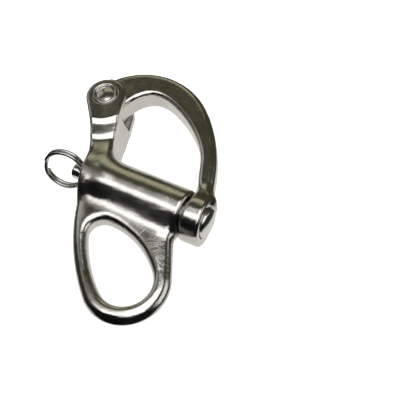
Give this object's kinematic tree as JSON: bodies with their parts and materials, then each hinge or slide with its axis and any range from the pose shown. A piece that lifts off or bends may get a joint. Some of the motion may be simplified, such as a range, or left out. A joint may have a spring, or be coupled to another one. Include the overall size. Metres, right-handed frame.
{
  "type": "snap shackle",
  "caption": "Fixed-eye snap shackle: a curved arm hinges open from a forked casting and is locked by a spring plunger that a small split ring pulls back.",
  "frame": {"origin": "bottom centre of the closed shackle lying flat on its side", "axes": "+Y runs along the load line from the fixed eye to the bow, +Z is the normal of the shackle's plane and the direction of the arm's hinge, +X points towards the arm's free end"},
  "size_m": [0.0448, 0.07, 0.012],
  "materials": {
    "body_steel": "polished cast stainless steel",
    "arm_steel": "polished cast stainless steel",
    "rivet_steel": "formed and polished stainless steel",
    "plunger_steel": "turned and polished stainless steel",
    "spring_steel": "drawn stainless steel wire",
    "ring_steel": "bright drawn stainless steel wire"
  },
  "bodies": {
    "body": {"body_casting": "body_steel", "pivot_rivet": "rivet_steel", "plunger_spring": "spring_steel"},
    "arm": {"bow_arm": "arm_steel"},
    "plunger": {"plunger": "plunger_steel"},
    "ring": {"pull_ring": "ring_steel"}
  },
  "joints": [
    {"name": "arm_pivot", "type": "hinge", "parent": "body", "child": "arm", "pos_m": [-0.008, 0.02597, 0.006], "axis": [0, 0, 1], "range_deg": [0, 145]},
    {"name": "plunger_slide", "type": "slide", "parent": "body", "child": "plunger", "axis": [-0.91, 0.4147, 0], "range_m": [0, 0.008], "stiffness_N_per_m": 2000, "springref_m": -0.004, "deforming": ["plunger_spring"]},
    {"name": "ring_swing", "type": "hinge", "parent": "plunger", "child": "ring", "pos_m": [-0.01185, 0.00536, 0.006], "axis": [0.1281, 0.2812, 0.9511], "range_deg": [-60, 45]}
  ]
}
